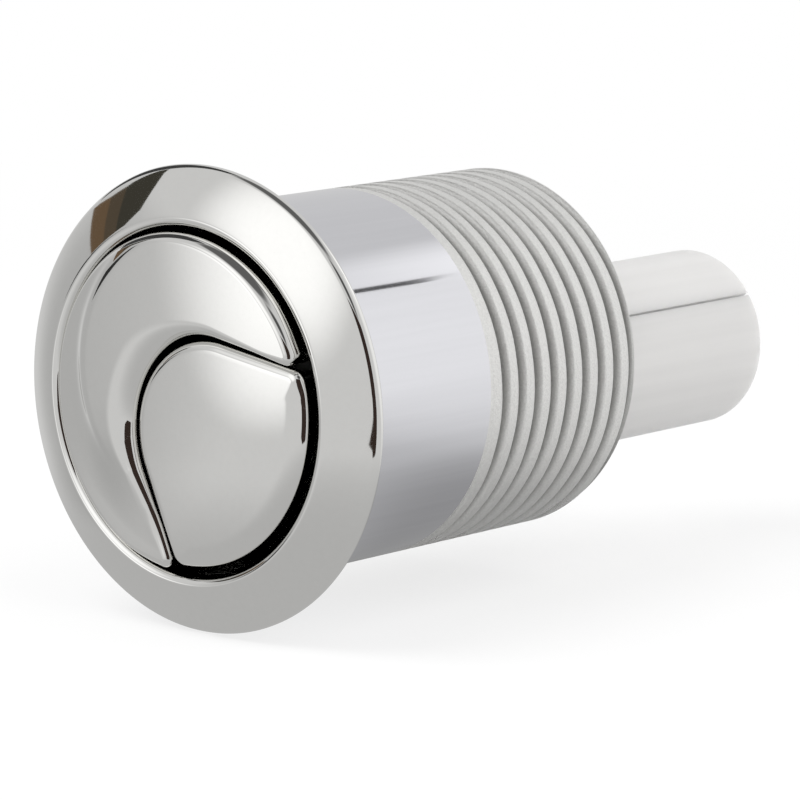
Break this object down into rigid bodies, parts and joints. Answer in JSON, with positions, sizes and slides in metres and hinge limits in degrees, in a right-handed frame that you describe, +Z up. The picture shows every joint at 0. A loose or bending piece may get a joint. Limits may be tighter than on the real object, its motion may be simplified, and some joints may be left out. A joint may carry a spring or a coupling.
{
  "type": "push button cistern actuator",
  "caption": "Chromed push button for a cistern lid: a flanged, threaded barrel with a crescent button round an egg shaped one, and a push rod behind each.",
  "frame": {"origin": "centre of the barrel at the back face of the flange, where the cistern lid sits", "axes": "+Y along the barrel from the button to the rods, +X to the right of someone facing the button, +Z up"},
  "size_m": [0.0474, 0.081, 0.0474],
  "materials": {
    "chrome": "polished chrome plate, satin on the thread",
    "white_plastic": "moulded white plastic",
    "milky_plastic": "milky white plastic, smooth",
    "spring_steel": "bright spring steel"
  },
  "bodies": {
    "body": {"bezel_body": "chrome", "guide_plate": "white_plastic", "retaining_ring": "spring_steel", "full_flush_spring": "spring_steel", "half_flush_spring": "spring_steel"},
    "full_flush": {"full_flush_cap": "chrome", "full_flush_slider": "white_plastic", "full_flush_rod": "milky_plastic"},
    "half_flush": {"half_flush_cap": "chrome", "half_flush_slider": "white_plastic", "half_flush_rod": "milky_plastic"}
  },
  "joints": [
    {"name": "full_flush_slide", "type": "slide", "parent": "body", "child": "full_flush", "axis": [0, 1, 0], "range_m": [0, 0.006], "stiffness_N_per_m": 250, "springref_m": -0.012, "deforming": ["full_flush_spring"]},
    {"name": "half_flush_slide", "type": "slide", "parent": "body", "child": "half_flush", "axis": [0, 1, 0], "range_m": [0, 0.006], "stiffness_N_per_m": 250, "springref_m": -0.012, "deforming": ["half_flush_spring"]}
  ]
}
